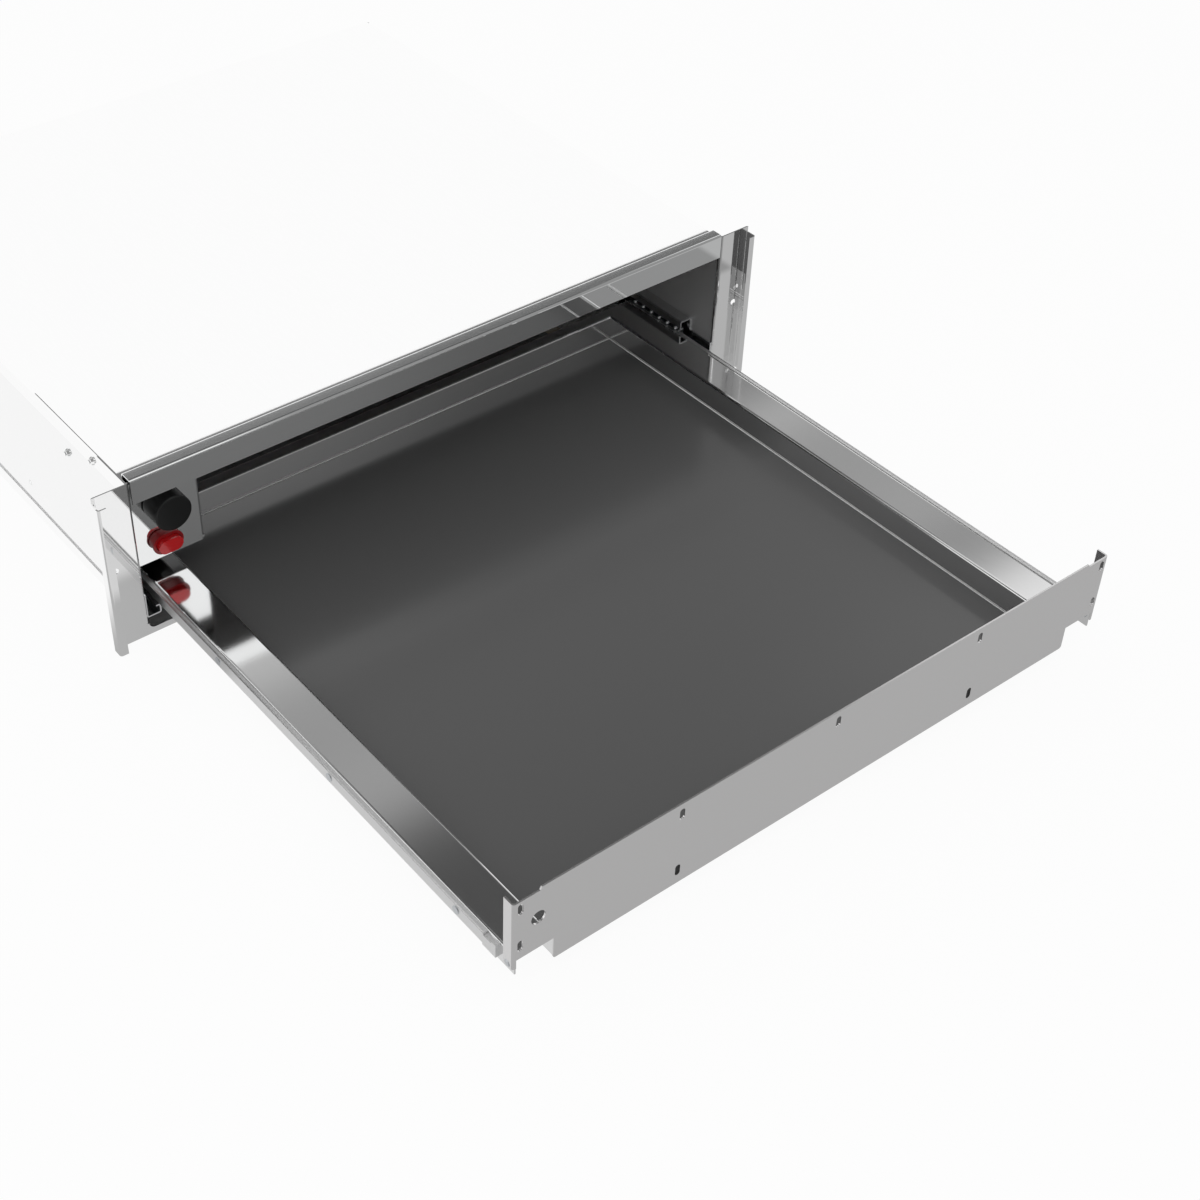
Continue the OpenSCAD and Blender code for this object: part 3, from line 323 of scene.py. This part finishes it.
# Front rail and control panel: the same bright stainless sheet, its grain along the width, bent
# and fixed between the flanges. They mirror the pulled-out tray.
bright_across = rolled_steel("bright_stainless_across", "#f4f5f5", 0.025, 0, 0.01)
dress(bright_across, "front_top_rail", "control_box")

# Front plate: stainless sheet with bent returns, riveted to the tray. Its satin finish blurs
# the grey paper in front of it to one even tone.
satin_across = rolled_steel("satin_stainless_across", "#f0efef", 0.16, 0, 0.02)
dress(satin_across, "front_plate")

# Screws, nuts and rivets: zinc-plated steel. Most have a faint blue passivation, which looks
# greyish blue; the screws of the runners and the control box are bright zinc and nearly white.
material, tree = new_material("zinc_plating")
finish_material(tree, {"Base Color": linear("#d6d9dc"), "Metallic": 1.0, "Roughness": 0.28})
dress(material, "thermostat_nut", "bulb_clips", "bar_rivets", "plate_packings",
      "front_plate_rivets", "thermostat_shaft", "button_spring")
material, tree = new_material("bright_zinc_plating")
finish_material(tree, {"Base Color": linear("#f8f9f9"), "Metallic": 1.0, "Roughness": 0.08})
dress(material, "control_box_screw", "rail_screws")

# Heating bed on the base: a matt mineral board, a dull spreader plate of mill-finish aluminium
# and a heating strip in red-brown silicone rubber, vulcanised and matt.
material, tree = new_material("mineral_board")
finish_material(tree, {"Base Color": linear("#cfc8b8"), "Roughness": 0.95})
dress(material, "insulation_board")
material, tree = new_material("mill_aluminium")
finish_material(tree, {"Base Color": linear("#a9acae"), "Metallic": 1.0, "Roughness": 0.4})
dress(material, "heating_plate")
material, tree = new_material("silicone_rubber")
finish_material(tree, {"Base Color": linear("#8a3a30"), "Roughness": 0.6})
dress(material, "heating_element", "heater_lead")

# Terminals, wiring and rubber parts: moulded nylon with an ivory tone and a soft sheen, wires in
# a dark woven sleeve, and moulded black rubber without gloss.
material, tree = new_material("white_nylon")
finish_material(tree, {"Base Color": linear("#e6e2d6"), "Roughness": 0.45})
dress(material, "terminal_block", "rail_stops")
material, tree = new_material("sleeved_wires")
finish_material(tree, {"Base Color": linear("#2b2c2e"), "Roughness": 0.6})
dress(material, "wiring_harness")
material, tree = new_material("black_rubber")
finish_material(tree, {"Base Color": linear("#1b1c1d"), "Roughness": 0.7})
dress(material, "cable_bush", "rear_bumpers", "bar_stops", "glass_seal")

# Thermostat: a pressed phenolic body, beige with a dull sheen, held behind the control panel by a
# nut, and a drawn copper capillary with its bulb, which shows soft warm highlights.
material, tree = new_material("phenolic_body")
finish_material(tree, {"Base Color": linear("#c3bfae"), "Roughness": 0.5})
dress(material, "thermostat_body")
material, tree = new_material("drawn_copper")
finish_material(tree, {"Base Color": linear("#d99a72"), "Metallic": 1.0, "Roughness": 0.3})
dress(material, "capillary_tube", "sensor_bulb")

# Knob: moulded black ABS, pushed on the thermostat's shaft. Its fine spark-eroded skin gives a
# soft sheen. The switch behind the panel has the same case.
material, tree = new_material("black_abs")
finish_material(tree, {"Base Color": linear("#0c0d0d"), "Roughness": 0.42})
dress(material, "control_knob", "switch_body")

# Push button: a translucent cap of red polycarbonate, which glows a little at its rim, in a
# darker, opaque red collar that snaps into the panel.
material, tree = new_material("red_polycarbonate")
finish_material(tree, {"Base Color": linear("#e0191f"), "Roughness": 0.15,
                       "Transmission Weight": 0.35, "IOR": 1.58})
dress(material, "power_button")
material, tree = new_material("red_collar")
finish_material(tree, {"Base Color": linear("#8d1015"), "Roughness": 0.3})
dress(material, "switch_collar")

# Ball runners: rails and cages of cold-rolled strip with a soft gloss, screwed to the side walls.
# The balls are hardened steel, polished like mirrors. The bars are drawn steel with a plainer,
# duller face, riveted to the tray.
runner_steel = rolled_steel("runner_steel", "#e2e3e4", 0.2, 1, 0.02)
dress(runner_steel, "left_fixed_rail", "right_fixed_rail", "left_ball_cage", "right_ball_cage")
drawn_steel = rolled_steel("drawn_bar_steel", "#efefef", 0.36, 1, 0.01)
dress(drawn_steel, "left_sliding_bar", "right_sliding_bar")
material, tree = new_material("ball_steel")
finish_material(tree, {"Base Color": linear("#e9eaeb"), "Metallic": 1.0, "Roughness": 0.08})
dress(material, "left_balls", "right_balls")

# Tray: one folded sheet of mirror-bright stainless steel, welded at the corners. Its rims show
# the front frame and the tent with slightly soft edges.
mirror_steel = rolled_steel("mirror_stainless", "#f6f6f6", 0.09, 1, 0.015)
dress(mirror_steel, "drawer_tray")

# Glass base: rolled grey glass ceramic with a strong but blurred gloss, laid on the tray's ledge.
# A bead of pale grey silicone, pressed in and smooth, closes the joint to the walls. Its pale grey
# is partly a painted highlight: it shows as the thin bright line along the joint.
BEAD_RADIUS = 0.0005
BEAD_SIDES = 12
material, tree = new_material("grey_glass_ceramic")
finish_material(tree, {"Base Color": linear("#525252"), "Roughness": 0.22, "IOR": 1.85})
dress(material, "glass_base")


def node_group(name, **sizes):
    """A Geometry Nodes tree with a geometry output and one float input for each size."""
    tree = bpy.data.node_groups.new(name, "GeometryNodeTree")
    tree.interface.new_socket("Geometry", in_out="OUTPUT", socket_type="NodeSocketGeometry")
    values = {}
    for size, value in sizes.items():
        socket = tree.interface.new_socket(size, in_out="INPUT", socket_type="NodeSocketFloat")
        values[socket.identifier] = value
    return tree, add_node(tree, "NodeGroupInput").outputs, values


def finish_group(tree, geometry, material):
    """Ends the tree with real geometry that carries the material."""
    real = add_node(tree, "GeometryNodeRealizeInstances", {0: geometry})
    dressed = add_node(tree, "GeometryNodeSetMaterial",
                       {"Geometry": real.outputs[0], "Material": material})
    add_node(tree, "NodeGroupOutput", {"Geometry": dressed.outputs[0]})


def grown(name, tree, values, place, body):
    """Runs the tree, moves its mesh to its place and lets it ride on a body of the model."""
    seed = bpy.data.objects.new(name + "_seed", bpy.data.meshes.new(name + "_seed"))
    bpy.context.scene.collection.objects.link(seed)
    step = seed.modifiers.new(name, "NODES")
    step.node_group = tree
    for socket, value in values.items():
        step[socket] = value
    shaped = seed.evaluated_get(bpy.context.evaluated_depsgraph_get())
    mesh = bpy.data.meshes.new_from_object(shaped)
    bpy.data.objects.remove(seed)
    mesh.transform(Matrix.Translation(place))
    piece = bpy.data.objects.new(name, mesh)
    bpy.context.scene.collection.objects.link(piece)
    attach(piece, body)
    return piece


glass_low, glass_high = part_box("glass_base")
bead_x = glass_high[0] - BEAD_RADIUS / 2
bead_y = (glass_high[1] - glass_low[1]) / 2 - BEAD_RADIUS / 2
# Painted highlight: the bead's pale colour gives the bright line along the glass joint.
silicone, tree = new_material("grey_silicone_painted_highlight")
finish_material(tree, {"Base Color": linear("#e4e4e4"), "Roughness": 0.2})
tree, size, values = node_group("glass_bead", Width=2 * bead_x, Length=2 * bead_y,
                                Radius=BEAD_RADIUS)
edge = add_node(tree, "GeometryNodeCurvePrimitiveQuadrilateral",
                {"Width": size["Width"], "Height": size["Length"]})
cord = add_node(tree, "GeometryNodeCurvePrimitiveCircle",
                {"Resolution": BEAD_SIDES, "Radius": size["Radius"]})
run = add_node(tree, "GeometryNodeCurveToMesh",
               {"Curve": edge.outputs[0], "Profile Curve": cord.outputs[0]})
finish_group(tree, run.outputs[0], silicone)
bead = grown("glass_bead", tree, values,
             (0, (glass_low[1] + glass_high[1]) / 2, glass_high[2] + BEAD_RADIUS / 2), "drawer")

# Retainers: two discs of black moulded polyamide, clipped behind the lower slots of the front
# plate, so that the screws of the furniture front can't fall inside. Their matt black is painted
# shade: it makes the slots look dark.
RETAINER_RADIUS = 0.0065
RETAINER_DEPTH = 0.0024
RETAINER_SIDES = 32
SLOT_X = 0.1305
SLOT_Z = 0.026
PLATE_T = 0.0012
# Painted shade: the black of these discs darkens the slots in front of them.
polyamide, tree = new_material("black_polyamide_painted_shade")
finish_material(tree, {"Base Color": linear("#1d1d1d"), "Roughness": 0.5})
tree, size, values = node_group("slot_retainers_painted_shade", Radius=RETAINER_RADIUS, Depth=RETAINER_DEPTH,
                                Spacing=2 * SLOT_X)
step = add_node(tree, "ShaderNodeCombineXYZ", {"X": size["Spacing"]})
row = add_node(tree, "GeometryNodeMeshLine", {"Count": 2, "Offset": step.outputs[0]})
disc = add_node(tree, "GeometryNodeMeshCylinder",
                {"Vertices": RETAINER_SIDES, "Radius": size["Radius"], "Depth": size["Depth"]})
placed = add_node(tree, "GeometryNodeInstanceOnPoints",
                  {"Points": row.outputs[0], "Instance": disc.outputs[0],
                   "Rotation": (math.pi / 2, 0, 0)})
finish_group(tree, placed.outputs[0], polyamide)
plate_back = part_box("front_plate")[0][1] + PLATE_T
retainers = grown("slot_retainers_painted_shade", tree, values,
                  (-SLOT_X, plate_back + RETAINER_DEPTH / 2, SLOT_Z), "drawer")
